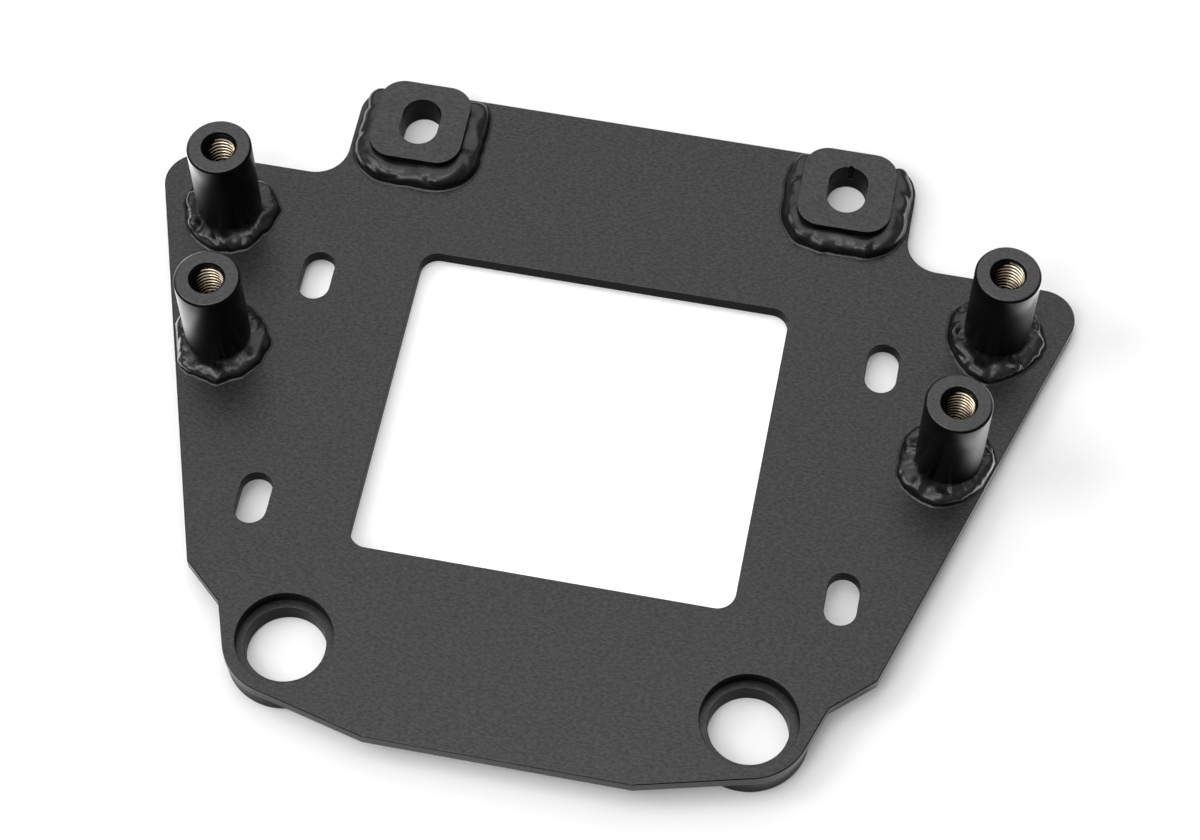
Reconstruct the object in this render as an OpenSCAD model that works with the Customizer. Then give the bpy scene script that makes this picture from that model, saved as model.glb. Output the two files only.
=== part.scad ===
// Winch mounting plate: a laser-cut steel plate with four threaded standoffs, two slotted pads
// and two rings under its large holes, all held by weld beads.
// X runs across the plate and the plate is the same on both sides of X = 0.
// Y runs along it towards the pads, and Y = 0 is the middle of its length.
// Z = 0 is the underside of the rings, on which the plate stands.

/* [Plate] */
// Length of the plate, from its straight bottom edge to the top edge of the tab
plate_len = 320; // [314:0.5:330]
// Thickness of the plate
plate_t = 6.35; // [4:0.05:10]
// Width of the tab that carries the pads
tab_w = 257; // [252:0.5:270]
// Length of the tab, from the shoulders to its top edge
tab_len = 52.6; // [48:0.1:58]
// Width at the shoulders, measured to the sharp corners
shoulder_w = 425; // [412:0.5:440]
// Width at the lower ends of the tapered sides
waist_w = 294.2; // [288:0.1:304]
// Height of the lower ends of the tapered sides above the bottom edge
waist_up = 64.7; // [60:0.1:70]
// Width between the inner corners above the large holes
neck_w = 258.8; // [255:0.1:264]
// Height of the inner corners above the bottom edge
neck_up = 48.7; // [47:0.1:52]
// Width of the straight bottom edge
bottom_w = 113; // [90:0.5:120]
// Radius of the tab's corners, the fillets below it and the shoulders
outline_r = 15; // [6:0.5:18]
// Plate left outside each ring at the rounded lower corners
lobe_rim = 0.5; // [0:0.1:3]

/* [Window] */
// Width of the rectangular window
window_w = 166; // [120:0.5:172]
// Length of the window
window_len = 150; // [110:0.5:156]
// Corner radius of the window
window_r = 8; // [3:0.5:20]

/* [Winch bolt slots] */
// Distance between the left and right bolt slots
bolt_dx = 254; // [250:0.1:262]
// Distance between the upper and lower bolt slots
bolt_dy = 114.3; // [100:0.1:118]
// How far the bolt pattern sits below the middle of the plate
bolt_drop = 3.7; // [0:0.1:8]
// Width of a bolt slot
slot_w = 13.8; // [9:0.1:16]
// Length of a bolt slot, end to end
slot_len = 24.5; // [18:0.1:30]

/* [Large holes and rings] */
// Distance between the two large holes, and between the two pads above them
hole_dx = 196.2; // [190:0.1:204]
// Height of the large holes' centres above the bottom edge
hole_up = 37.4; // [36:0.1:42]
// Diameter of the large holes in the plate
hole_d = 41.4; // [36:0.1:44]
// Outer diameter of a ring
ring_od = 51; // [47:0.1:52]
// Bore of a ring
ring_bore = 34; // [24:0.1:35]
// Height of a ring
ring_h = 9.5; // [5:0.1:20]
// Chamfer on the lower outer edge of a ring
ring_edge = 0.6; // [0.2:0.1:1.5]

/* [Standoffs] */
// Outer diameter of a standoff
post_od = 28.6; // [22:0.1:32]
// Height of a standoff above the plate
post_h = 49; // [25:0.5:80]
// Outer diameter of the thread in a standoff
thread_d = 15.9; // [8:0.1:16]
// Pitch of that thread
thread_pitch = 2.3; // [1:0.05:2.5]
// How much wider than the thread the countersunk mouth is
mouth_extra = 0.1; // [0.1:0.1:2]
// Chamfer on the upper outer edge of a standoff
post_edge = 0.9; // [0.3:0.1:2]
// Distance of the upper standoffs in from the tapered side, along X
upper_inset = 30.4; // [26:0.1:36]
// Distance of the upper standoffs below the shoulders
upper_drop = 26.9; // [24:0.1:32]
// Distance of the lower standoffs in from the tapered side, along X
lower_inset = 20.9; // [19:0.1:24]
// Distance of the lower standoffs below the shoulders
lower_drop = 93.7; // [88:0.1:100]

/* [Pads] */
// Side of a square pad
pad_w = 42.2; // [36:0.1:44]
// Corner radius of a pad
pad_r = 11; // [5:0.1:14]
// Height of a pad above the plate
pad_h = 9.5; // [5:0.1:16]
// Plate left between a pad and the tab's top edge
pad_margin = 1.7; // [0.5:0.1:5]
// Width of the slot through a pad and the plate
pad_slot_w = 17.3; // [12:0.1:20]
// Length of that slot, end to end
pad_slot_len = 24.5; // [20.5:0.1:28]
// Radius of the nick that the cutter left at the end of the right pad's slot
nick_r = 0.8; // [0.4:0.1:1.2]

/* [Weld beads] */
// Width of a standoff's bead on the plate
post_leg = 7.1; // [4:0.1:9]
// Height of a standoff's bead up its wall
post_rise = 5; // [3:0.1:7]
// How much wider a standoff's bead is on its front side
front_swell = 1.8; // [0:0.1:2.5]
// Width of a pad's bead on the plate
pad_leg = 7.4; // [4:0.1:8.5]
// Height of a pad's bead up its side
pad_rise = 6.6; // [3:0.1:8]
// How far round the pad's upper corners the ends of its bead lie, in degrees
pad_bead_end = 42; // [5:1:75]
// Width and height of a ring's bead, under the plate
ring_leg = 4.6; // [3:0.1:6]
// Unevenness of every bead, as a share of its width
bead_lump = 0.08; // [0:0.01:0.15]

/* [Hidden] */
$fn = 96;

// Heights and places that follow from the sizes above
plate_low = ring_h;
plate_top = ring_h + plate_t;
top_y = plate_len / 2;
bottom_y = -plate_len / 2;
shoulder_y = top_y - tab_len;
waist_y = bottom_y + waist_up;
neck_y = bottom_y + neck_up;
hole_y = bottom_y + hole_up;
pad_y = top_y - pad_margin - pad_w / 2;
lobe_r = ring_od / 2 + lobe_rim;
upper_y = shoulder_y - upper_drop;
lower_y = shoulder_y - lower_drop;
// Half width of the tapered sides at a height y
function side_x(y) = (waist_w + (shoulder_w - waist_w) * (y - waist_y) / (shoulder_y - waist_y)) / 2;
upper_x = side_x(upper_y) - upper_inset;
lower_x = side_x(lower_y) - lower_inset;
side_taper = atan2((shoulder_w - waist_w) / 2, shoulder_y - waist_y);
// Plate left beside a pad, for its bead
pad_room = tab_w / 2 - hole_dx / 2 - pad_w / 2;
// A tapped hole's wall stands at the thread's inner diameter
tap_d = thread_d - 1.0825 * thread_pitch;
mouth_d = thread_d + mouth_extra;

// Steps of the outline's arcs and of a bead's length, and points across a bead's face
arc_step = 5;
bead_step = 2.6;
bead_cuts = 6;
// Above 1 the bead's face is fuller than a straight fillet and flatter than a quarter ellipse
bead_form = 1.2;
black = [0.09, 0.09, 0.1];
glossy = [0.05, 0.05, 0.055];
// Length of cut past a face
past = 1;

// The points of an arc of radius r that rounds corner p between its neighbours a and b
function unit(v) = v / norm(v);
function turn(a) = a > 180 ? a - 360 : a < -180 ? a + 360 : a;
function rounded_corner(a, p, b, r) =
    let (
        u = unit(a - p),
        v = unit(b - p),
        half = acos(u * v) / 2,
        middle = p + unit(u + v) * r / sin(half),
        from = p + u * r / tan(half) - middle,
        to = p + v * r / tan(half) - middle,
        start = atan2(from[1], from[0]),
        sweep = turn(atan2(to[1], to[0]) - start),
        steps = ceil(abs(sweep) / arc_step)
    )
    [for (i = [0 : steps]) middle + r * [cos(start + sweep * i / steps), sin(start + sweep * i / steps)]];

// The direction in which a tangent leaves point p to touch a circle, on the side given by 1 or -1
function tangent_angle(p, centre, r, side) =
    let (d = centre - p)
    atan2(d[1], d[0]) + side * asin(r / norm(d));

// The right half of the outline, from the bottom edge up to the tab's top edge
hole_at = [hole_dx / 2, hole_y];
bottom_at = [bottom_w / 2, bottom_y];
neck_at = [neck_w / 2, neck_y];
lobe_start = tangent_angle(bottom_at, hole_at, lobe_r, -1) - 90;
lobe_sweep = turn(tangent_angle(neck_at, hole_at, lobe_r, 1) + 90 - lobe_start);
lobe_steps = ceil(lobe_sweep / arc_step);
shoulder_at = [shoulder_w / 2, shoulder_y];
waist_at = [waist_w / 2, waist_y];
fillet_at = [tab_w / 2, shoulder_y];
tab_at = [tab_w / 2, top_y];
right_half = concat(
    [bottom_at],
    [for (i = [0 : lobe_steps])
        let (a = lobe_start + lobe_sweep * i / lobe_steps)
        hole_at + lobe_r * [cos(a), sin(a)]],
    [neck_at, waist_at],
    rounded_corner(waist_at, shoulder_at, fillet_at, outline_r),
    rounded_corner(shoulder_at, fillet_at, tab_at, outline_r),
    rounded_corner(fillet_at, tab_at, [0, top_y], outline_r)
);
function mirrored(points) = [for (i = [len(points) - 1 : -1 : 0]) [-points[i][0], points[i][1]]];

module outline() {
    polygon(concat(right_half, mirrored(right_half)));
}

// A rectangle with round corners, centred
module rounded_rectangle(w, l, r) {
    square([w - 2 * r, l], center = true);
    square([w, l - 2 * r], center = true);
    for (x = [-1, 1], y = [-1, 1])
        translate([x * (w / 2 - r), y * (l / 2 - r)])
            circle(r);
}

// A slot with round ends that runs along Y, centred
module slot(w, l) {
    square([w, l - w], center = true);
    for (y = [-1, 1])
        translate([0, y * (l - w) / 2])
            circle(d = w);
}

// Places its children, drawn on the right side, on the side given by 1 or -1
module on_side(side) {
    if (side > 0)
        children();
    else
        mirror([1, 0, 0])
            children();
}

module both_sides() {
    for (side = [-1, 1])
        on_side(side)
            children();
}

module plate() {
    color(black)
        translate([0, 0, plate_low])
            difference() {
                linear_extrude(plate_t)
                    outline();
                translate([0, 0, -past])
                    linear_extrude(plate_t + 2 * past)
                        plate_cuts();
            }
}

module plate_cuts() {
    rounded_rectangle(window_w, window_len, window_r);
    both_sides() {
        for (y = [-1, 1])
            translate([bolt_dx / 2, y * bolt_dy / 2 - bolt_drop])
                slot(slot_w, slot_len);
        translate(hole_at)
            circle(d = hole_d);
        translate([hole_dx / 2, pad_y])
            slot(pad_slot_w, pad_slot_len);
    }
}

// A standoff: a thick tube with a chamfered rim and a countersunk, tapped bore.
// The plate closes the bore's lower end.
module standoff(x, y) {
    sink = (mouth_d - tap_d) / 2;
    color(black)
        translate([x, y, plate_top])
            rotate_extrude()
                polygon([
                    [tap_d / 2, 0],
                    [post_od / 2, 0],
                    [post_od / 2, post_h - post_edge],
                    [post_od / 2 - post_edge, post_h],
                    [mouth_d / 2, post_h],
                    [tap_d / 2, post_h - sink]
                ]);
}

module pad(side, nick) {
    color(black)
        translate([side * hole_dx / 2, pad_y, plate_top])
            linear_extrude(pad_h)
                difference() {
                    rounded_rectangle(pad_w, pad_w, pad_r);
                    slot(pad_slot_w, pad_slot_len);
                    if (nick)
                        translate([0, pad_slot_len / 2])
                            circle(nick_r, $fn = 24);
                }
}

module ring(side) {
    color(black)
        translate([side * hole_dx / 2, hole_y, 0])
            rotate_extrude()
                polygon([
                    [ring_bore / 2, 0],
                    [ring_od / 2 - ring_edge, 0],
                    [ring_od / 2, ring_edge],
                    [ring_od / 2, ring_h],
                    [ring_bore / 2, ring_h]
                ]);
}

// A bead is drawn as a row of sections. Each section belongs to a place on the foot of a wall,
// with the wall's outward direction, the bead's width there and its height.
// It holds the points of the bead's face from its toe to its top, then the foot of the wall.
function section(at, out, leg, rise) = concat(
    [for (j = [0 : bead_cuts])
        let (
            t = 90 * j / bead_cuts,
            p = at + out * leg * pow(cos(t), bead_form)
        )
        [p[0], p[1], rise * pow(sin(t), bead_form)]],
    [[at[0], at[1], 0]]
);

// The solid between a row of sections, closed end to end or with a cap at each end
module bead(sections, closed) {
    n = len(sections);
    m = len(sections[0]);
    spans = closed ? n : n - 1;
    walls = [for (i = [0 : spans - 1], j = [0 : m - 1])
        let (k = (i + 1) % n, l = (j + 1) % m)
        each [
            [i * m + j, k * m + l, i * m + l],
            [i * m + j, k * m + j, k * m + l]
        ]];
    // A section is convex, so a cap is a fan of triangles from its last point
    caps = closed ? [] : [for (j = [0 : m - 3])
        each [
            [m - 1, j, j + 1],
            [(n - 1) * m + m - 1, (n - 1) * m + j + 1, (n - 1) * m + j]
        ]];
    polyhedron([for (s = sections) each s], concat(walls, caps));
}

// A weld's ripple: slow waves along its length, counted by an angle, shifted by its own phase
function ripple(a, phase) = bead_lump * (sin(5 * a + phase) + 0.6 * sin(8 * a + 2 * phase));

// The room for a bead between a standoff's wall and the tapered side of the plate,
// for a standoff on the right side and a direction a
function room_at_side(inset, a) =
    let (away = cos(a + side_taper))
    away > 0 ? inset * cos(side_taper) / away - post_od / 2 : post_od;

// The radius on which a bead's steps round a wall of radius r start and end,
// so that the middle of each step just touches that wall
function step_radius(r, step) = r / cos(step / 2);

// The bead round a standoff. It stops at the side of the plate, and its swell points
// in the direction lean, with the strength given.
module post_weld(side, x, y, inset, lean, strength, phase) {
    count = ceil(PI * (post_od + post_leg) / bead_step);
    foot = step_radius(post_od / 2, 360 / count);
    sections = [for (i = [0 : count - 1])
        let (
            a = -360 * i / count,
            swell = strength * front_swell * cos(a - lean),
            leg = (post_leg + swell) * (1 + ripple(a, phase)),
            rise = post_rise * (1 + ripple(a, phase + 90))
        )
        section(foot * [cos(a), sin(a)], [cos(a), sin(a)], min(leg, room_at_side(inset, a)), rise)];
    color(glossy)
        on_side(side)
            translate([x, y, plate_top])
                bead(sections, true);
}

module upper_weld(side, lean, strength, phase) {
    post_weld(side, upper_x, upper_y, upper_inset, lean, strength, phase);
}

module lower_weld(side, lean, strength, phase) {
    post_weld(side, lower_x, lower_y, lower_inset, lean, strength, phase);
}

// Places along an arc of a pad's corner, as [place, outward direction], clockwise from one angle
// to another. They lie between the steps, on the radius that keeps the steps clear of the corner.
function pad_corner(centre, from, to) =
    let (
        steps = ceil(PI * pad_r * (from - to) / 180 / bead_step),
        step = (from - to) / steps,
        r = step_radius(pad_r, step)
    )
    [for (i = [0 : steps - 1])
        let (a = from - step * (i + 0.5))
        [centre + r * [cos(a), sin(a)], [cos(a), sin(a)]]];

// Places along a straight side of a pad, from one point to another
function pad_side(from, to, out) =
    let (steps = ceil(norm(to - from) / bead_step))
    [for (i = [0 : steps]) [from + (to - from) * i / steps, out]];

// Places along the right side, the front and the left side of a pad. The path starts and ends
// in the arcs of its upper corners.
function pad_path() =
    let (h = pad_w / 2, c = h - pad_r)
    concat(
        pad_corner([c, c], pad_bead_end, 0),
        pad_side([h, c], [h, -c], [1, 0]),
        pad_corner([c, -c], 0, -90),
        pad_side([c, -h], [-c, -h], [0, -1]),
        pad_corner([-c, -c], -90, -180),
        pad_side([-h, -c], [-h, c], [-1, 0]),
        pad_corner([-c, c], -180, -180 - pad_bead_end)
    );

// How full a bead is near its ends: it grows from a blunt start within a few steps
function end_form(i, last) = min(1, 0.55 + 0.15 * min(i, last - i));

module pad_weld(side, phase) {
    path = pad_path();
    last = len(path) - 1;
    sections = [for (i = [0 : last])
        let (
            a = 300 * i / last,
            full = end_form(i, last),
            leg = pad_leg * full * (1 + ripple(a, phase)),
            rise = pad_rise * full * (1 + ripple(a, phase + 90) / 2)
        )
        section(path[i][0], path[i][1], min(leg, pad_room), rise)];
    color(glossy)
        translate([side * hole_dx / 2, pad_y, plate_top])
            bead(sections, false);
}

// The hidden bead under the plate, round the half of a ring that faces the window
module ring_weld(side, phase) {
    from = -15;
    sweep = 150;
    count = ceil(PI * ring_od * sweep / 360 / bead_step);
    foot = step_radius(ring_od / 2, sweep / count);
    sections = [for (i = [0 : count])
        let (
            a = from - sweep * i / count,
            leg = ring_leg * end_form(i, count) * (1 + ripple(a, phase))
        )
        section(foot * [cos(a), sin(a)], [cos(a), sin(a)], leg, leg)];
    color(glossy)
        translate([side * hole_dx / 2, hole_y, ring_h])
            rotate([180, 0, 0])
                bead(sections, false);
}

plate();
standoff(-upper_x, upper_y);  // standoff_upper_left
standoff(-lower_x, lower_y);  // standoff_lower_left
standoff(upper_x, upper_y);  // standoff_upper_right
standoff(lower_x, lower_y);  // standoff_lower_right
pad(-1, false);  // pad_left
pad(1, true);  // pad_right
ring(-1);  // ring_left
ring(1);  // ring_right
upper_weld(-1, -105, 0.9, 20);  // weld_upper_left
lower_weld(-1, -130, 1, 140);  // weld_lower_left
upper_weld(1, -105, 1.3, 250);  // weld_upper_right
lower_weld(1, -130, 1.2, 320);  // weld_lower_right
pad_weld(-1, 60);  // weld_pad_left
pad_weld(1, 200);  // weld_pad_right
ring_weld(-1, 30);  // weld_ring_left
ring_weld(1, 110);  // weld_ring_right
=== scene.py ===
import math

import bmesh
import bpy
import numpy as np
from mathutils import Matrix, Vector


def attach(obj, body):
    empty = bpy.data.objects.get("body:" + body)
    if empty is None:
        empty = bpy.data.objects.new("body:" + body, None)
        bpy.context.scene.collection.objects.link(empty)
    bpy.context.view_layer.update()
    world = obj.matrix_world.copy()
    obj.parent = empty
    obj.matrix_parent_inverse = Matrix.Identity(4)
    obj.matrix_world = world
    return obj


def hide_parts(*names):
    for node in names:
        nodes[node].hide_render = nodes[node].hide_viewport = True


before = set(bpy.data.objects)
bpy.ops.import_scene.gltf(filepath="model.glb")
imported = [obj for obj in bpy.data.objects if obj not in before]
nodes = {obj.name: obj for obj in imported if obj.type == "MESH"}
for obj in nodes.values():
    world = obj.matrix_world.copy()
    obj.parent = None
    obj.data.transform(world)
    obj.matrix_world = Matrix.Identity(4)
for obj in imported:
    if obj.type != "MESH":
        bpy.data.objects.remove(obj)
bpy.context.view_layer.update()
mm = 0.001  # in metres, which the frame and the scene are in


print("frame loaded:", len(nodes), "nodes")


def meshLines(mesh):  # a mesh's points, in metres, and the numbers of the two points of each edge
    points, ends = np.zeros(len(mesh.vertices) * 3), np.zeros(len(mesh.edges) * 2, dtype=np.int64)
    mesh.vertices.foreach_get("co", points)
    mesh.edges.foreach_get("vertices", ends)
    return points.reshape(-1, 3), ends.reshape(-1, 2)


def boxOf(name):  # a solid's lowest and highest corner, its middle and half its size, in mm to a thousandth
    points = meshLines(nodes[name].data)[0] / mm
    low, high = np.round(points.min(axis=0), 3), np.round(points.max(axis=0), 3)
    middle, half = np.round((low + high) / 2, 3), np.round((high - low) / 2, 3)
    return {"low": low, "high": high, "middle": middle, "half": half}


cameraSetup = {
    "place": (138.842, -636.983, 1161.781),  # mm, solved from the photograph
    "right": (0.98146, 0.191655, -0.002228),  # the direction of its right side
    "forward": (-0.096924, 0.48625, -0.868428),  # the direction it looks in
    "focalPixels": 3049.8,
    "widthPixels": 1200.0,
    "sensor": 36.0,
    "clip": (0.01, 100.0),  # metres
}


def makeCamera(setup):  # its upward axis is square to its back and its right
    data = bpy.data.cameras.new("camera")
    data.sensor_width = setup["sensor"]
    data.lens = setup["focalPixels"] * setup["sensor"] / setup["widthPixels"]
    data.clip_start, data.clip_end = setup["clip"]
    camera = bpy.data.objects.new("camera", data)
    bpy.context.scene.collection.objects.link(camera)
    back = -Vector(setup["forward"]).normalized()
    right = Vector(setup["right"]).normalized()
    up = back.cross(right).normalized()
    turned = Matrix((right, up, back)).transposed().to_4x4()
    camera.matrix_world = Matrix.Translation(Vector(setup["place"]) * mm) @ turned
    bpy.context.scene.camera = camera


makeCamera(cameraSetup)
bpy.context.scene.view_settings.view_transform = "Standard"


class Wire:  # an output socket; arithmetic on it adds Math nodes
    def __init__(self, tree, socket):
        self.tree, self.socket = tree, socket

    def math(self, operation, *values):
        return self.tree.node("ShaderNodeMath", {"operation": operation}, list(values))

    def __add__(self, other):
        return self.math("ADD", self, other)

    def __mul__(self, other):
        return self.math("MULTIPLY", self, other)

    def __sub__(self, other):
        return self.math("SUBTRACT", self, other)

    def __rsub__(self, other):
        return self.math("SUBTRACT", other, self)

    __radd__ = __add__
    __rmul__ = __mul__

    def smaller(self, other):
        return self.math("MINIMUM", self, other)

    def larger(self, other):
        return self.math("MAXIMUM", self, other)

    def ramp(self, low, high):  # 0 below low, 1 above high, smooth between
        return self.tree.node("ShaderNodeMapRange", {"interpolation_type": "SMOOTHSTEP"},
                              {"Value": self, "From Min": low, "From Max": high})


class Finish:  # a node tree that is being written
    def __init__(self, owner):
        owner.use_nodes = True
        self.tree = owner.node_tree
        self.tree.nodes.clear()

    # inputs holds values or links, as a list in the sockets' order or by the names of those in use
    def node(self, kind, settings=None, inputs=None, out=None):
        made = self.tree.nodes.new(kind)
        for key, value in (settings or {}).items():
            setattr(made, key, value)
        pairs = enumerate(inputs) if isinstance(inputs, list) else (inputs or {}).items()
        for key, value in pairs:
            if isinstance(key, int):
                socket = made.inputs[key]
            else:
                socket = next(s for s in made.inputs if s.enabled and s.name == key)
            if isinstance(value, Wire):
                self.tree.links.new(value.socket, socket)
            else:
                socket.default_value = value
        shown = [s for s in made.outputs if s.enabled]
        return Wire(self, next(s for s in shown if out is None or s.name == out)) if shown else None

    def place(self):  # where a point is on the piece, in metres
        return self.node("ShaderNodeTexCoord", out="Object")

    def value(self, name):  # a number that the piece's mesh carries, or 0 where it doesn't
        return self.node("ShaderNodeAttribute", {"attribute_name": name}, out="Fac")

    def noise(self, where, scale, detail=2.0, rough=0.5):
        return self.node("ShaderNodeTexNoise", {}, {"Vector": where, "Scale": scale, "Detail": detail,
                                                    "Roughness": rough}, out="Fac")

    def blend(self, amount, first, second):
        return self.node("ShaderNodeMix", {"data_type": "RGBA"}, {"Factor": amount, "A": first, "B": second})

    def bump(self, height, strength, depth, under=None):
        inputs = {"Height": height, "Strength": strength, "Distance": depth}
        if under:
            inputs["Normal"] = under
        return self.node("ShaderNodeBump", {}, inputs)

    def grain(self, look):  # fine mottling, longer along X
        inputs = [self.place(), look["stretch"]]
        stretched = self.node("ShaderNodeVectorMath", {"operation": "MULTIPLY"}, inputs)
        return self.noise(stretched, look["grainScale"], rough=look["grainRough"])

    def mottled(self, grain, look):  # the coat's colour, from dark to light with the grain
        return self.blend(grain.ramp(*look["mottle"]), tint(look["dark"]), tint(look["light"]))

    def gloss(self, grain, look, least):  # the clear gloss on the coat, stronger with the grain
        return grain.ramp(*look["glossFrom"]) * look["glossSpread"] + least

    def peeled(self, grain, look, kept=1.0):  # the normal of a coat with slow waves under its fine grain
        wave = self.noise(self.place(), look["waveScale"])
        waves = self.bump(wave * kept, look["waveStrength"], look["waveDepth"])
        return self.bump(grain * kept, look["bumpStrength"], look["bumpDepth"], waves)

    def surface(self, shader):
        self.node("ShaderNodeOutputMaterial", {}, {"Surface": shader})


def tint(rgb):
    return (*rgb, 1.0)


def gray(level):
    return tint((level, level, level))


def powderCoat(name, look):  # mottled and glossy on flat faces; on cut walls without gloss and darker, a painted shade
    material = bpy.data.materials.new(name)
    finish = Finish(material)
    wall = finish.value("cutWall")
    grain = finish.grain(look)
    finish.surface(finish.node("ShaderNodeBsdfPrincipled", {}, {
        # cut walls take a darker colour, a painted shade
        "Base Color": finish.blend(wall, finish.mottled(grain, look), tint(look["cut"])),
        "Roughness": look["rough"],
        "Normal": finish.peeled(grain, look),
        "IOR": look["ior"],
        "Coat Weight": (1.0 - wall) * finish.gloss(grain, look, look["gloss"]),
        "Coat Roughness": look["rough"],
    }))
    return material


plateLook = {
    # cut: the walls' darker colour, a painted shade
    "dark": (0.003, 0.003, 0.0032), "light": (0.013, 0.013, 0.0135), "cut": (0.0015, 0.0015, 0.0016),
    "mottle": (0.25, 0.75), "ior": 1.16, "rough": 0.35,
    "gloss": 0.60, "glossSpread": 0.38, "glossFrom": (0.2, 0.8),
    "stretch": (0.55, 1.0, 1.0), "grainScale": 1000.0, "grainRough": 0.6,
    "bumpStrength": 0.8, "bumpDepth": 0.00006,
    "waveScale": 260.0, "waveStrength": 0.5, "waveDepth": 0.00006,
}
plateCoat = powderCoat("plateCoat", plateLook)
padCoat = powderCoat("padCoat", dict(plateLook, gloss=0.74))

beadLook = dict(
    plateLook, dark=(0.0015, 0.0015, 0.0016), light=(0.004, 0.004, 0.0042), ior=1.45, rough=0.31,
    gloss=0.0, glossSpread=0.25, stretch=(1.0, 1.0, 1.0), grainScale=900.0,
    bumpStrength=0.3, bumpDepth=0.00003, waveScale=240.0, waveStrength=0.35, waveDepth=0.0001)
beadCoat = powderCoat("beadCoat", beadLook)


# A standoff's wall is plain, smooth paint, darker than its end face as a painted shade, and its end face is
# like the plate.
# Down the bore the paint stops at a ragged edge, and below it the threads are bare metal with grooves
# darkened partly by dirt and partly as painted shade; towards one side a painted shadow of black coat
# reaches deeper.
def standoffCoat(name, look, wall, bare):
    material = bpy.data.materials.new(name)
    finish = Finish(material)
    grain = finish.grain(look)
    flat = finish.value("endFace")
    patchy = finish.noise(finish.place(), bare["patchScale"], bare["patchDetail"], bare["patchRough"])
    shown = (finish.value("boreDepth") + (patchy - 0.5) * bare["ragged"]).ramp(bare["start"], bare["full"])
    # groove roots darken: partly dirt, partly painted shade where the crest above shades the flank
    grooveDirtAndShade = finish.value("groove").ramp(*bare["grooveRange"])
    metal = finish.blend(grooveDirtAndShade, tint(bare["crest"]), tint(bare["root"]))
    coat = finish.blend(flat, tint(wall["color"]), finish.mottled(grain, look))
    finish.surface(finish.node("ShaderNodeBsdfPrincipled", {}, {
        "Base Color": finish.blend(shown, coat, metal),
        "Metallic": shown * bare["metallic"],
        "Roughness": wall["rough"] + shown * (bare["rough"] - wall["rough"]),
        "Normal": finish.peeled(grain, look, 1.0 - shown),
        "IOR": wall["ior"],
        "Coat Weight": flat * finish.gloss(grain, look, wall["endGloss"]),
        "Coat Roughness": look["rough"],
    }))
    return material


# the wall's colour is darker than the end face's, a painted shade
wallLook = {"color": (0.0008, 0.0008, 0.0008), "rough": 0.37, "ior": 1.15, "endGloss": 0.92}
bareThread = {
    "start": -0.8, "full": 1.0, "ragged": 2.0,  # mm of depth below the paint's mean edge
    "patchScale": 260.0, "patchDetail": 3.0, "patchRough": 0.6,
    # root: the grooves' dark colour, dirt and painted shade together
    "grooveRange": (0.27, 0.40), "crest": (1.0, 0.85, 0.63), "root": (0.006, 0.0025, 0.001),
    "rough": 0.31, "metallic": 0.85,
}
postCoat = standoffCoat("standoffCoat", plateLook, wallLook, bareThread)
print("finishes written")


def joinGrid(points, aroundU, aroundV):  # quads between neighbouring points of a (u, v) grid
    nu, nv = points.shape[:2]
    u = np.arange(nu if aroundU else nu - 1)
    v = np.arange(nv if aroundV else nv - 1)
    a, b = np.meshgrid(u, v, indexing="ij")
    c, d = (a + 1) % nu, (b + 1) % nv
    return np.stack([a * nv + b, c * nv + b, c * nv + d, a * nv + d], axis=-1).reshape(-1, 4)


def turnedOver(faces):  # quads that face the other way, each still split along the same diagonal
    return faces[:, [0, 3, 2, 1]]


# A mesh from a grid's points and its quads, with end caps and values at its points where they are given.
def makePiece(name, points, faces, material, replaced, attributes=None, caps=None):
    mesh = bpy.data.meshes.new(name)
    allFaces = [tuple(f) for f in faces.tolist()] + list(caps or [])
    mesh.from_pydata(points.reshape(-1, 3).tolist(), [], allFaces)
    mesh.polygons.foreach_set("use_smooth", np.ones(len(mesh.polygons), dtype=bool))
    for key, values in (attributes or {}).items():
        layer = mesh.attributes.new(key, "FLOAT", "POINT")
        layer.data.foreach_set("value", np.ascontiguousarray(values, dtype=np.float32).ravel())
    mesh.update()
    mesh.materials.append(material)
    piece = bpy.data.objects.new(name, mesh)
    bpy.context.scene.collection.objects.link(piece)
    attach(piece, "root")
    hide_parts(*replaced)


# numbers that scatter the bits of a lattice corner's place
mixing = {
    "axes": (73856093, 19349663, 83492791), "seed": 2654435761, "first": 2246822519, "second": 3266489917,
    "bits": 0xFFFFFFFF, "kept": 0xFFFF,
}


# A value from -1 to 1 for each corner: its whole numbers and the seed, multiplied and folded.
def cornerValues(corners, seed):
    h = (corners @ np.array(mixing["axes"]) + seed * mixing["seed"]) & mixing["bits"]
    h = ((h ^ (h >> 15)) * mixing["first"]) & mixing["bits"]
    h = ((h ^ (h >> 13)) * mixing["second"]) & mixing["bits"]
    h = h ^ (h >> 16)
    return (h & mixing["kept"]) / (mixing["kept"] / 2) - 1


def smoothField(points, cell, seed):  # values on a cubic lattice, blended by 3t^2 - 2t^3 between its corners
    q = points / cell
    base = np.floor(q).astype(np.int64)
    f = q - base
    f = f * f * (3 - 2 * f)
    total = np.zeros(points.shape[:-1])
    for corner in ((i, j, k) for i in (0, 1) for j in (0, 1) for k in (0, 1)):
        weight = np.prod(np.where(np.array(corner) == 1, f, 1 - f), axis=-1)
        total += weight * cornerValues(base + np.array(corner), seed)
    return total


# Each corner of a profile becomes a parabola between points its cut away from it. A point a little further
# out on each side keeps the shading of the straight parts flat.
def softened(corners, cuts, count=4, hold=1.4):
    corners = np.array(corners, dtype=float)
    out = [corners[:1]]
    t = np.linspace(0, 1, count)[:, None]
    for before, at, after, cut in zip(corners[:-2], corners[1:-1], corners[2:], cuts):
        u, v = (before - at) / np.linalg.norm(before - at), (after - at) / np.linalg.norm(after - at)
        arc = at + (1 - t) ** 2 * u * cut + t ** 2 * v * cut
        out += [(at + u * cut * hold)[None], arc, (at + v * cut * hold)[None]]
    out.append(corners[-1:])
    return np.concatenate(out)


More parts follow.
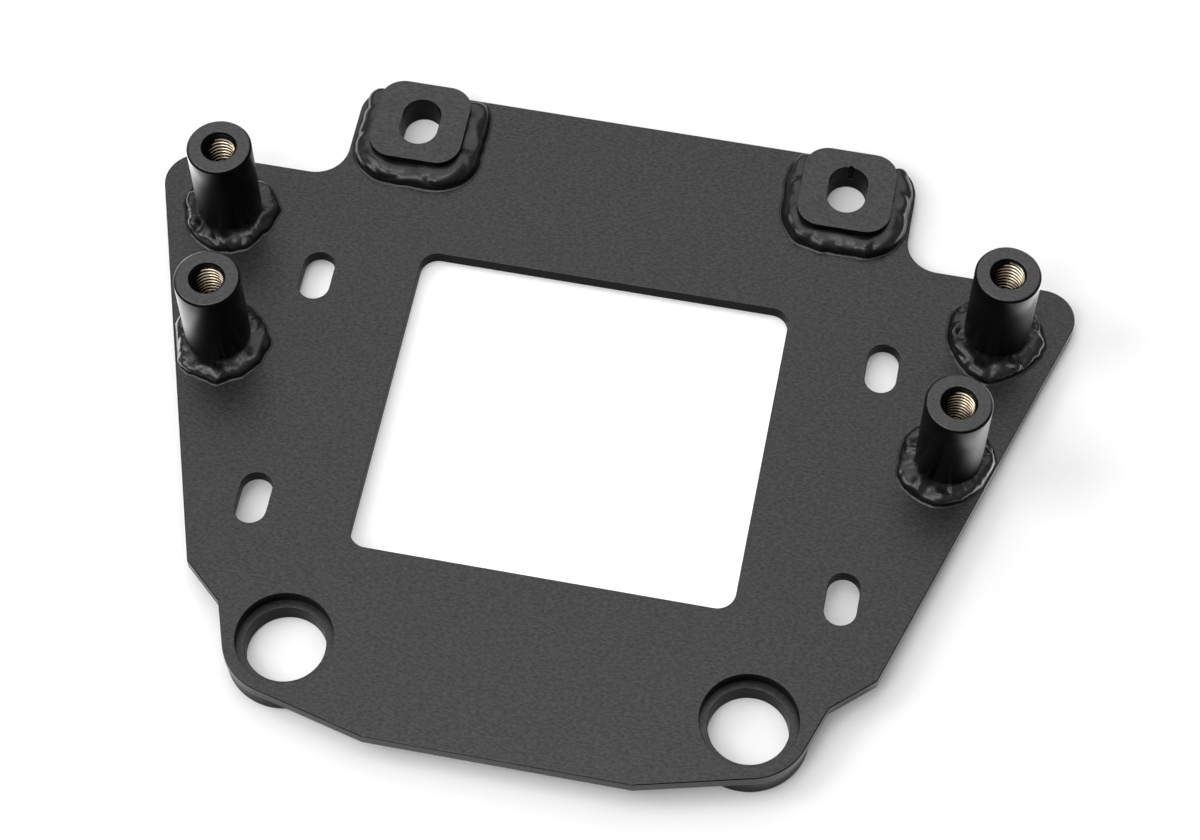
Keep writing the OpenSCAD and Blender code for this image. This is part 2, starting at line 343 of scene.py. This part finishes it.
cutEdges = {
    "plate": 0.6, "pad": 0.28, "ring": 0.4, "segments": 3,  # mm, the width of the rounding
    "holeShare": 0.42,  # of that width, round the plate's holes
    "sharp": 35.0, "flat": 0.5,  # degrees between two faces: more is an edge, and less is one flat face
    "upright": 0.5,  # a face is a wall where its direction has less Z than this
    "merge": 0.001,  # mm
}


# The edges of an outline are rounded more than those of its holes. Points that share a wall get the same
# number by taking the smallest of their neighbours' numbers until none changes.
def edgeWeights(mesh, holeShare):
    points, ends = meshLines(mesh)
    walls = [tuple(face.vertices) for face in mesh.polygons if abs(face.normal.z) < cutEdges["upright"]]
    links = np.array([(face[i - 1], face[i]) for face in walls for i in range(len(face))])
    number = np.arange(len(points))
    changed = True
    while changed:
        low = np.minimum(number[links[:, 0]], number[links[:, 1]])
        after = number.copy()
        np.minimum.at(after, links[:, 0], low)
        np.minimum.at(after, links[:, 1], low)
        changed = (after != number).any()
        number = after
    outline = number == number[np.argmax(points[:, 0])]
    return np.where(outline[ends].all(axis=1), 1.0, holeShare)


# A copy of a cut solid, merged to whole faces, with its walls marked and its sharp edges rounded.
def roundedCopy(node, material, width, holeShare=1.0):
    mesh = nodes[node].data.copy()
    mesh.name = node + "Soft"
    work = bmesh.new()
    work.from_mesh(mesh)
    bmesh.ops.remove_doubles(work, verts=work.verts, dist=cutEdges["merge"] * mm)
    flat = math.radians(cutEdges["flat"])
    bmesh.ops.dissolve_limit(work, angle_limit=flat, verts=work.verts, edges=work.edges)
    work.normal_update()
    work.to_mesh(mesh)
    sharp = np.array([edge.calc_face_angle(0.0) > math.radians(cutEdges["sharp"]) for edge in work.edges])
    work.free()
    mesh.materials.clear()
    mesh.materials.append(material)
    mesh.polygons.foreach_set("use_smooth", np.ones(len(mesh.polygons), dtype=bool))
    normals = np.zeros(len(mesh.polygons) * 3, dtype=np.float32)
    mesh.polygons.foreach_get("normal", normals)
    upright = (np.abs(normals[2::3]) < cutEdges["upright"]).astype(np.float32)
    mesh.attributes.new("cutWall", "FLOAT", "FACE").data.foreach_set("value", upright)
    weight = mesh.attributes.new("bevel_weight_edge", "FLOAT", "EDGE")
    weight.data.foreach_set("value", (sharp * edgeWeights(mesh, holeShare)).astype(np.float32))
    piece = bpy.data.objects.new(node + "Soft", mesh)
    bpy.context.scene.collection.objects.link(piece)
    edge = piece.modifiers.new("edge", "BEVEL")
    edge.width, edge.segments = width * mm, cutEdges["segments"]
    edge.limit_method = "WEIGHT"
    edge.use_clamp_overlap = False
    piece.modifiers.new("shading", "WEIGHTED_NORMAL").keep_sharp = False
    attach(piece, "root")
    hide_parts(node)


roundedCopy("plate", plateCoat, cutEdges["plate"], cutEdges["holeShare"])
for side in ("left", "right"):
    roundedCopy("pad_" + side, padCoat, cutEdges["pad"])
    roundedCopy("ring_" + side, plateCoat, cutEdges["ring"])
print("plate, pads and rings rounded")

standoff = {
    "names": ("upper_left", "lower_left", "upper_right", "lower_right"),
    "chamfer": 0.9, "soft": (0.14, 0.4, 0.4), "lip": 0.3, "mouth": 8.0,
    "band": 0.22,  # mm below the top that still take the end face's finish
    "major": 7.94, "minor": 6.7051, "pitch": 2.309,  # mm, the thread's radii and how far a turn climbs
    "flats": (0.10, 0.88),  # the part of the wave that is left between its flat crest and groove
    "perTurn": 14, "around": 112,  # points of the profile to a thread's turn, and profiles round the axis
    "turn": 1.3, "turnStep": 0.9,  # radians: how far the first thread is turned, and each next one more
    # for each bore, the depth of its paint in mm, the side where a painted shadow of black coat reaches
    # deeper, in degrees from +X, and the cosine at which that side begins
    "paintAndShadow": {"upper_left": (4.6, 205.0, 0.1), "lower_left": (3.0, 205.0, 0.1),
              "upper_right": (1.9, 195.0, -0.3), "lower_right": (2.3, 195.0, -0.3)},
    "shadowDepth": 7.5, "sideGrooveShade": 0.54,  # how much deeper the painted shadow reaches there, in mm, and how much darker it paints the grooves as shade
    "covered": -10.0,  # the bore depth of what lies outside, which stays painted
}


# The thread is a sharp wave between two diameters, cut flat at both, that climbs one pitch a turn.
def threadRadius(z, angle, size):
    phase = (z / size["pitch"] - angle / (2 * np.pi)) % 1.0
    low, high = size["flats"]
    wave = np.clip((np.abs(2 * phase - 1) - low) / (high - low), 0, 1)  # 1 in the groove, 0 on the crest
    return size["minor"] + (size["major"] - size["minor"]) * wave, wave


# A standoff is turned about its axis: its profile goes up the bore, over the softened rim and down the wall,
# and in the bore its radius follows the thread and the cone at the mouth.
def makeStandoff(name, turned, size):
    box = boxOf("standoff_" + name)
    centre, radius = box["middle"], box["half"][0]
    foot, top, lip = box["low"][2], box["high"][2], size["lip"]
    bore = np.linspace(foot, top - lip, int((top - foot) / size["pitch"] * size["perTurn"]))
    rim = softened([(size["mouth"] - lip, top - lip), (size["mouth"], top), (radius - size["chamfer"], top),
                    (radius, top - size["chamfer"]), (radius, foot)], size["soft"])[1:]
    angle = np.linspace(0, 2 * np.pi, size["around"], endpoint=False)
    a, z = np.meshgrid(angle, np.concatenate([bore, rim[:, 1]]), indexing="ij")
    inner = np.arange(z.shape[1]) < len(bore)
    thread, wave = threadRadius(z, a + turned, size)
    cone = size["mouth"] - (top - z)
    outside = np.concatenate([np.zeros(len(bore)), rim[:, 0]])
    r = np.where(inner, np.maximum(thread, cone), outside)
    points = np.stack([centre[0] + r * np.cos(a), centre[1] + r * np.sin(a), z], axis=-1) * mm
    depth, side, edge = size["paintAndShadow"][name]
    # painted shadow: towards one side the black coat reaches deeper down the bore and the grooves are
    # darker, standing in for shade
    shadedSide = np.clip((np.cos(a - math.radians(side)) - edge) / (1 - edge), 0, 1)
    attributes = {
        "boreDepth": np.where(inner, top - z - (depth + size["shadowDepth"] * shadedSide), size["covered"]),
        "groove": np.where(inner, wave + size["sideGrooveShade"] * shadedSide, 0.0),
        "endFace": ~inner & (z > top - size["band"]),
    }
    faces = turnedOver(joinGrid(points, True, True))
    makePiece("standoff_" + name + "Turned", points, faces, postCoat, ["standoff_" + name],
              attributes)


for i, name in enumerate(standoff["names"]):
    makeStandoff(name, standoff["turn"] + standoff["turnStep"] * i, standoff)
print("standoffs turned and threaded")

bead = {
    "along": 0.42, "across": 30,  # mm between sections, and points over each section's face
    "form": 0.72, "slimmest": 0.1,  # the power that makes a section full, and its least width in mm
    "toe": 0.5, "toeShare": 0.4, "skirt": 1.1, "skirtSteps": 4,  # the lead onto the plate, in mm
    "swell": 0.8, "swellCell": 9.0, "warp": 2.2,  # noise: how much, and over how many mm
    "lump": 2.6, "lumpCell": 7.0, "crease": 0.08, "lumpMean": 0.3, "grain": 0.05, "grainCell": 2.2,
    "pushEnd": 0.95, "pushRound": 0.7,  # how the noise fades at the toe and at the wall
    "intoWall": 0.3, "inset": 0.5, "sunk": 0.3, "lift": 0.01,  # mm: the face's reach, the back and the toe
    "thinEnd": 0.02, "faceShift": 37.0, "footShift": 11.0,  # mm of noise between one seed and the next
}
secondLattice = {
    "axes": ((0.80, 0.36, 0.48), (-0.60, 0.48, 0.64), (0.0, -0.80, 0.60)), "shift": 11.3, "cell": 0.87,
    "seed": 40, "shares": (0.62, 0.5),
}


def turnedField(points, cell, seed):  # two lattices of values at an angle, so that neither shows
    first, second = secondLattice["shares"]
    turned = points @ np.array(secondLattice["axes"]) + secondLattice["shift"]
    other = smoothField(turned, cell * secondLattice["cell"], seed + secondLattice["seed"])
    return first * smoothField(points, cell, seed) + second * other


# A bead's face is a curve from its toe on the plate to its top on the wall, carried along the wall's foot:
# width times cos^form and height times sin^form, above a small quarter ellipse that leads it onto the plate.
# It's pushed out by slow noise, by the root of noise squared plus a little, which makes round lumps with
# creases between them, and by fine noise. Its back lies inside the wall and just below the plate's face.
# Each noise has the bead's seed and a small number of its own.
def beadGrid(foot, out, leg, rise, size, seed):
    t = np.linspace(0, 1, size["across"])[None, :]
    leg = np.maximum(leg - 0.5 * size["skirt"], size["slimmest"])
    step = np.minimum(size["toe"], size["toeShare"] * rise)[:, None]
    low = np.arcsin((step / rise[:, None]) ** (1 / size["form"]))
    phi = low + (np.pi / 2 - low) * t
    d = leg[:, None] * np.cos(phi) ** size["form"]
    h = rise[:, None] * np.sin(phi) ** size["form"]
    flat = foot[:, None, :] + out[:, None, :] * d[..., None]
    spot = np.concatenate([flat, h[..., None]], axis=-1) + seed * size["faceShift"]
    warp = np.stack([turnedField(spot, size["swellCell"], seed + k) for k in (7, 8, 9)], axis=-1)
    lumps = turnedField(spot + size["warp"] * warp, size["lumpCell"], seed + 2)
    push = (size["swell"] * turnedField(spot, size["swellCell"], seed)
            + size["lump"] * (np.hypot(lumps, size["crease"]) - size["lumpMean"])
            + size["grain"] * turnedField(spot, size["grainCell"], seed + 1))
    push = push * np.sin(np.pi * size["pushEnd"] * t) ** size["pushRound"]
    d = np.maximum(d + push * np.cos(phi), -size["intoWall"])
    h = np.maximum(h + push * np.sin(phi), step)
    column = np.ones((len(foot), 1))
    turn = np.radians(np.linspace(270, 180, size["skirtSteps"] + 1)[:-1])[None, :]
    toe = leg[:, None] + size["skirt"] * (1 + np.cos(turn))
    rising = size["lift"] + step * (1 + np.sin(turn))
    back, under = -size["inset"] * column, -size["sunk"] * column
    d = np.concatenate([toe, d, back, back, toe[:, :1]], axis=1)
    h = np.concatenate([rising, h, h[:, -1:], under, under], axis=1)
    return np.concatenate([foot[:, None, :] + out[:, None, :] * d[..., None], h[..., None]], axis=-1)


# A bead's grid set on its base, upside down where it lies under the plate. One that isn't a closed round
# gets its first and last section as caps. A path that runs clockwise turns its faces inside out, and so does
# the plate's underside, so with either one alone they are turned over.
def makeBead(name, grid, base, closed, node, under=False, clockwise=False):
    points = grid.copy()
    if under:
        points[..., 2] *= -1
    points = (points + np.array(base)) * mm
    faces = joinGrid(points, closed, True)
    caps = []
    if not closed:
        nu, nv = points.shape[:2]
        caps = [tuple(range(nv)), tuple(range(nu * nv - 1, (nu - 1) * nv - 1, -1))]
    if under != clockwise:
        faces = turnedOver(faces)
        caps = [c[::-1] for c in caps]
    makePiece(name, points, faces, beadCoat, [node], caps=caps)


postBead = {
    "rise": 4.8, "spacedAt": 4,  # mm, its height, and how far outside the wall its sections' spacing is true
    "noiseAt": 20,  # mm, the radius of the circle round which its noise is read
    "toeWaver": (0.45, 2.6), "riseWavers": ((0.16, 6.0), (0.06, 2.0)),  # how much, and over how many mm
    "room": 0.1, "grazing": 0.05, "farOff": 1000.0,  # mm left to the plate's side, and where that isn't near
    "facing": 0.5,  # the least X of the direction in which that side faces
    "firstSeed": 3,
    # how far each bead's toe reaches from its standoff's centre, in mm, by direction in degrees from +X
    "toes": {
        "upper_left": (
            (-178, 21.1), (-160, 19.9), (-139, 21.4), (-112, 22.6), (-96, 23.8), (-77, 23.7), (-60, 23.4),
            (-34, 21.4), (-8, 21.9), (9, 23.1), (18, 21.8), (26, 21.2), (38, 21.0), (53, 19.9), (62, 19.4),
            (100, 20.0), (140, 20.6)),
        "lower_left": (
            (-124, 22.8), (-107, 22.0), (-92, 22.4), (-78, 24.4), (-64, 22.9), (-43, 23.1), (-27, 23.0),
            (-9, 22.8), (1, 23.7), (8, 23.2), (15, 21.6), (32, 20.9), (45, 20.2), (61, 19.9), (100, 20.5),
            (150, 20.5)),
        "upper_right": (
            (176, 21.5), (-158, 22.0), (-137, 22.8), (-125, 23.7), (-108, 25.5), (-90, 26.5), (-72, 24.0),
            (-48, 22.6), (-27, 22.2), (-7, 22.6), (10, 20.6), (26, 20.2), (36, 19.9), (80, 20.0),
            (143, 19.6), (159, 21.2)),
        "lower_right": (
            (171, 21.3), (-166, 21.3), (-148, 24.2), (-134, 24.7), (-117, 24.2), (-99, 24.1), (-83, 23.3),
            (-63, 21.3), (-45, 19.9), (-17, 19.9), (0, 20.9), (14, 20.2), (32, 20.0), (80, 20.2),
            (139, 19.6), (157, 20.6)),
    },
}


# The distance from a standoff's centre to the plate's slanted side beside it, in one direction. That side is
# the largest wall of the plate that faces right, and its mirror image on the left.
def roomToSide(centre, angle):
    walls = [face for face in nodes["plate"].data.polygons if face.normal.x > postBead["facing"]]
    wall = max(walls, key=lambda face: face.area)
    mirror = np.array([np.sign(centre[0]), 1.0])
    normal = np.array(wall.normal[:2]) * mirror
    gap = normal @ (np.array(wall.center[:2]) / mm * mirror - centre)
    toward = np.cos(angle) * normal[0] + np.sin(angle) * normal[1]
    grazing = postBead["grazing"]
    return np.where(toward > grazing, gap / np.maximum(toward, grazing), postBead["farOff"])


def wavering(spot, waver, seed):  # smooth noise, so much of it and over so many mm
    return waver[0] * smoothField(spot, waver[1], seed)


def makePostBead(name, seed):  # a closed round at a standoff's foot, out to its toes or the plate's side
    box = boxOf("standoff_" + name)
    centre, wall = box["middle"][:2], box["half"][0]
    count = int(2 * np.pi * (wall + postBead["spacedAt"]) / bead["along"])
    angle = np.linspace(0, 2 * np.pi, count, endpoint=False)
    table = np.array(sorted((a % 360, r) for a, r in postBead["toes"][name]))
    toe = np.interp(np.degrees(angle) % 360, table[:, 0], table[:, 1], period=360)
    out = np.stack([np.cos(angle), np.sin(angle)], axis=1)
    spot = np.concatenate([out * postBead["noiseAt"], np.full((count, 1), seed * bead["footShift"])], axis=1)
    toe = toe + wavering(spot, postBead["toeWaver"], seed + 5)
    toe = np.minimum(toe, roomToSide(centre, angle) - postBead["room"] - bead["skirt"] / 2)
    slow, quick = postBead["riseWavers"]
    rise = postBead["rise"] * (1 + wavering(spot, slow, seed + 6) + wavering(spot, quick, seed + 7))
    grid = beadGrid(out * wall, out, toe - wall, rise, bead, seed)
    makeBead("weld_" + name + "Bead", grid, (*centre, box["low"][2]), True, "weld_" + name)


for seed, name in enumerate(standoff["names"], start=postBead["firstSeed"]):
    makePostBead(name, seed)


def roundedEnds(share, times):  # rises by a quarter circle over the first and the last 1/times of a path
    near = np.clip(np.minimum(share, 1 - share) * times, 0, 1)
    return np.sqrt(np.clip(1 - (1 - near) ** 2, bead["thinEnd"], 1))


padBead = {
    "corner": 11.0, "rise": 6.4, "ends": 34, "endHeight": 0.5, "arcPoints": 60,
    "grazing": 0.3, "facing": 0.99,  # the least X of the bead's direction, and of that of the plate's side
    "legWaver": (0.5, 4.0), "riseWaver": (0.12, 7.0),
    "lumps": {"swell": 0.7, "lump": 2.0, "lumpCell": 8.5},
    # where the path starts and ends, in degrees from +X, and the bead's width along it, in mm: it starts at
    # the right side's upper end and runs clockwise
    "left": {"seed": 21, "start": 44, "end": 138,
             "legs": (8.6, 9.0, 8.9, 9.3, 9.0, 9.0, 8.2, 7.2, 6.9, 5.2)},
    "right": {"seed": 25, "start": 42, "end": 134,
              "legs": (6.2, 8.6, 8.4, 7.9, 8.0, 8.4, 7.0, 7.4, 7.7, 5.6)},
}


# Places and outward directions, evenly spaced and clockwise, round a square with round corners.
def roundedSquare(half, shape, start, end, step):
    r = shape["corner"]
    c = half - r
    dense = []
    arcs = [(c, c, start, 0), (c, -c, 0, -90), (-c, -c, -90, -180), (-c, c, -180, end - 360)]
    for x, y, a0, a1 in arcs:
        a = np.radians(np.linspace(a0, a1, shape["arcPoints"]))
        normal = np.stack([np.cos(a), np.sin(a)], axis=1)
        dense.append(np.concatenate([np.array([x, y]) + r * normal, normal], axis=1))
    dense = np.concatenate(dense)
    s = np.concatenate([[0], np.cumsum(np.linalg.norm(np.diff(dense[:, :2], axis=0), axis=1))])
    at = np.arange(0, s[-1], step)
    full = np.stack([np.interp(at, s, dense[:, i]) for i in range(4)], axis=1)
    normal = full[:, 2:] / np.linalg.norm(full[:, 2:], axis=1)[:, None]
    return full[:, :2], normal, at / s[-1]


def sideBeside(box):  # how far out the plate's side stands beside a pad, in mm
    walls = [face.center for face in nodes["plate"].data.polygons if face.normal.x > padBead["facing"]]
    return np.round(max(at.x for at in walls if at.y > box["low"][1] * mm) / mm, 3)


def makePadBead(side):  # round three sides of a pad, never past the plate's side
    shape, box = padBead[side], boxOf("pad_" + side)
    seed, centre, half = shape["seed"], box["middle"], box["half"][0]
    foot, out, share = roundedSquare(half, padBead, shape["start"], shape["end"], bead["along"])
    leg = np.interp(share, np.linspace(0, 1, len(shape["legs"])), shape["legs"])
    spot = np.concatenate([foot, np.full((len(foot), 1), seed * bead["footShift"])], axis=1)
    full = roundedEnds(share, padBead["ends"])
    leg = (leg + wavering(spot, padBead["legWaver"], seed + 5)) * full
    rise = padBead["rise"] * (1 + wavering(spot, padBead["riseWaver"], seed + 6))
    rise = rise * (padBead["endHeight"] + (1 - padBead["endHeight"]) * full)
    room = sideBeside(box) - abs(centre[0]) - half - bead["skirt"] / 2
    room = room / np.maximum(np.abs(out[:, 0]), padBead["grazing"])
    leg = np.where(out[:, 0] * centre[0] > 0, np.minimum(leg, room), leg)
    grid = beadGrid(foot, out, leg, rise, dict(bead, **padBead["lumps"]), seed)
    makeBead("weld_pad_" + side + "Bead", grid, (*centre[:2], box["low"][2]), False, "weld_pad_" + side,
             clockwise=True)


for side in ("left", "right"):
    makePadBead(side)

ringBead = {
    "from": 15, "to": 165, "step": 0.95, "leg": 4.3, "ends": 20, "lumps": {"lump": 0.5},
    "seeds": {"left": 31, "right": 33},
}


def makeRingBead(side):  # under the plate, round the half of a ring that faces the plate's middle
    box = boxOf("ring_" + side)
    centre, radius = box["middle"], box["half"][0]
    angle = np.radians(np.arange(ringBead["from"], ringBead["to"], ringBead["step"]))
    out = np.stack([np.cos(angle), np.sin(angle)], axis=1)
    leg = ringBead["leg"] * roundedEnds(np.linspace(0, 1, len(angle)), ringBead["ends"])
    size = dict(bead, **ringBead["lumps"])
    grid = beadGrid(out * radius, out, leg, leg.copy(), size, ringBead["seeds"][side])
    makeBead("weld_ring_" + side + "Bead", grid, (*centre[:2], box["high"][2]), False, "weld_ring_" + side,
             under=True)


for side in ("left", "right"):
    makeRingBead(side)
print("weld beads laid")

footChamfer = 0.6  # mm, round the ring's foot
plateBox, floorTouch = boxOf("plate"), boxOf("ring_right")["high"][1] - footChamfer
floorSetup = {
    # it touches the rings' feet at this Y, in mm, and rises from there to the plate's far edge
    "touch": floorTouch, "rise": plateBox["low"][2] / (plateBox["high"][1] - floorTouch),
    "sunk": 0.00002, "size": 3.2,  # metres
    "color": 0.8, "rough": 0.9,
    # the glow that the camera sees from the middle outwards: brighter under the plate, a painted pool of
    # light where the floor shows through its holes, and dimmer round its rim, a painted shadow; between them
    # the distances, in metres, over which each level gives way to the next; the last is white
    "underPlateLight": 0.34, "plateRim": (0.11, 0.15), "edge": 0.12, "wayOut": (0.19, 0.30), "open": 0.22,
    "white": (0.45, 0.85),
}
apronSetup = {
    "directions": 180, "samples": 160,  # round the plate, and along each edge of its mesh
    "clear": 0.0025, "reach": 0.34, "above": 0.0005,  # metres from the outline, from the middle and up
    # how bright it is in front and, behind, at the sides low and high and in the middle, and the ranges, in
    # metres, over which these give way to each other
    "front": 2.2, "low": 4.3, "high": 8.0, "middle": 1.0,
    "frontTo": (-0.08, 0.02), "highFrom": (0.045, 0.08), "sidesFrom": (0.165, 0.185),
}
lampSetup = {
    # the world's light by the Z of its direction, and then the lamps, in metres
    "skyLow": 0.22, "skyHigh": 0.45, "under": 1.1, "skyRange": (0.2, 0.9), "underRange": (-0.7, -0.2),
    "back": {"place": (-0.20, 1.00, 1.75), "size": 2.0, "radiance": 1.22},
    "top": {"place": (-0.05, -0.02, 1.80), "size": 0.5, "radiance": 6.0},
    "key": {"place": (-0.40, -0.85, 1.45), "size": 0.72, "radiance": 5.2},
    "left": {"place": (-1.10, -0.25, 1.15), "size": 0.7, "radiance": 6.0},
}


def floorHeight(y, setup):  # it's tilted, because the plate stands on its rings and its far edge
    return (y - setup["touch"] * mm) * setup["rise"] - setup["sunk"]


def makeStage(name, points, faces, finishIt):  # a surface that belongs to the studio and not to the part
    mesh = bpy.data.meshes.new(name)
    mesh.from_pydata(points.tolist(), [], faces)
    material = bpy.data.materials.new(name + "Surface")
    finishIt(Finish(material))
    mesh.materials.append(material)
    made = bpy.data.objects.new(name, mesh)
    bpy.context.scene.collection.objects.link(made)
    return made


def makeFloor(setup):
    half = setup["size"] / 2
    xs, ys = np.array([-half, half, half, -half]), np.array([-half, -half, half, half])

    def pale(finish):  # glows to the camera, brighter under the plate as painted light and dimmer round its rim as painted shadow, is white from some way out, and is open from below
        camera = finish.node("ShaderNodeLightPath", out="Is Camera Ray")
        far = finish.node("ShaderNodeVectorMath", {"operation": "LENGTH"}, [finish.place()], out="Value")
        # painted light under the plate and painted shadow round its rim, seen only by the camera
        glow = finish.blend(far.ramp(*setup["plateRim"]), gray(setup["underPlateLight"]), gray(setup["edge"]))
        glow = finish.blend(far.ramp(*setup["wayOut"]), glow, gray(setup["open"]))
        glow = finish.blend(far.ramp(*setup["white"]), glow, gray(1.0))
        top = finish.node("ShaderNodeBsdfPrincipled", {}, {
            "Base Color": gray(setup["color"]), "Roughness": setup["rough"], "Specular IOR Level": 0.0,
            "Emission Color": finish.blend(camera, gray(0.0), glow), "Emission Strength": 1.0})
        below = finish.node("ShaderNodeNewGeometry", out="Backfacing")
        through = finish.node("ShaderNodeLightPath", out="Transparent Depth").smaller(1.0)
        clear = finish.node("ShaderNodeBsdfTransparent")
        finish.surface(finish.node("ShaderNodeMixShader", {}, [below.larger(through), top, clear]))

    makeStage("floor", np.stack([xs, ys, floorHeight(ys, setup)], axis=1), [(0, 1, 2, 3)], pale)


# A white card that only reflections see lies round the plate: from its outline, which is the greatest
# distance in each direction of the points along the mesh's edges, out to a wide circle.
def makeApron(setup, ground):
    count = setup["directions"]
    points, ends = meshLines(nodes["plate"].data)
    ends = points[ends, :2]
    share = np.linspace(0, 1, setup["samples"])[None, :, None]
    dense = (ends[:, :1] * (1 - share) + ends[:, 1:] * share).reshape(-1, 2)
    way = np.round(np.arctan2(dense[:, 1], dense[:, 0]) / (2 * np.pi) * count).astype(int) % count
    edge = np.zeros(count)
    np.maximum.at(edge, way, np.hypot(dense[:, 0], dense[:, 1]))
    angle = np.arange(count) * 2 * np.pi / count
    ways = np.stack([np.cos(angle), np.sin(angle)], axis=1)
    rims = np.stack([ways * (edge + setup["clear"])[:, None], ways * setup["reach"]], axis=1)
    points = np.concatenate([rims, floorHeight(rims[..., 1:], ground) + setup["above"]], axis=-1)
    faces = turnedOver(joinGrid(points, True, False))

    def shine(finish):
        x = finish.node("ShaderNodeSeparateXYZ", {}, [finish.place()], out="X")
        y = finish.node("ShaderNodeSeparateXYZ", {}, [finish.place()], out="Y")
        sides = finish.blend(y.ramp(*setup["highFrom"]), gray(setup["low"]), gray(setup["high"]))
        beside = x.math("ABSOLUTE", x).ramp(*setup["sidesFrom"])
        behind = finish.blend(beside, gray(setup["middle"]), sides)
        color = finish.blend(y.ramp(*setup["frontTo"]), gray(setup["front"]), behind)
        finish.surface(finish.node("ShaderNodeEmission", {}, {"Color": color, "Strength": 1.0}))

    apron = makeStage("apron", points.reshape(-1, 3), [tuple(f) for f in faces.tolist()], shine)
    apron.visible_camera = apron.visible_diffuse = apron.visible_shadow = apron.visible_transmission = False


def makeWorld(setup):  # dim at the horizon and lighter above and below, and white to the camera
    world = bpy.data.worlds.new("studio")
    bpy.context.scene.world = world
    finish = Finish(world)
    camera = finish.node("ShaderNodeLightPath", out="Is Camera Ray")
    direction = finish.node("ShaderNodeTexCoord", out="Generated")
    upward = finish.node("ShaderNodeSeparateXYZ", {}, [direction], out="Z")
    sky = finish.blend(upward.ramp(*setup["skyRange"]), gray(setup["skyLow"]), gray(setup["skyHigh"]))
    around = finish.blend(upward.ramp(*setup["underRange"]), gray(setup["under"]), sky)
    light = finish.node("ShaderNodeBackground", {}, {"Color": finish.blend(camera, around, gray(1.0))})
    finish.node("ShaderNodeOutputWorld", {}, {"Surface": light})


def makeLamp(name, setup):  # a square lamp that faces the part
    data = bpy.data.lights.new(name, "AREA")
    data.shape, data.size = "SQUARE", setup["size"]
    data.energy = setup["radiance"] * math.pi * setup["size"] ** 2
    lamp = bpy.data.objects.new(name, data)
    lamp.location = setup["place"]
    lamp.rotation_euler = (-Vector(setup["place"])).to_track_quat("-Z", "Y").to_euler()
    lamp.visible_camera = False
    bpy.context.scene.collection.objects.link(lamp)


makeFloor(floorSetup)
makeApron(apronSetup, floorSetup)
makeWorld(lampSetup)
for name in ("back", "top", "key", "left"):
    makeLamp(name, lampSetup[name])
print("floor and lamps placed")
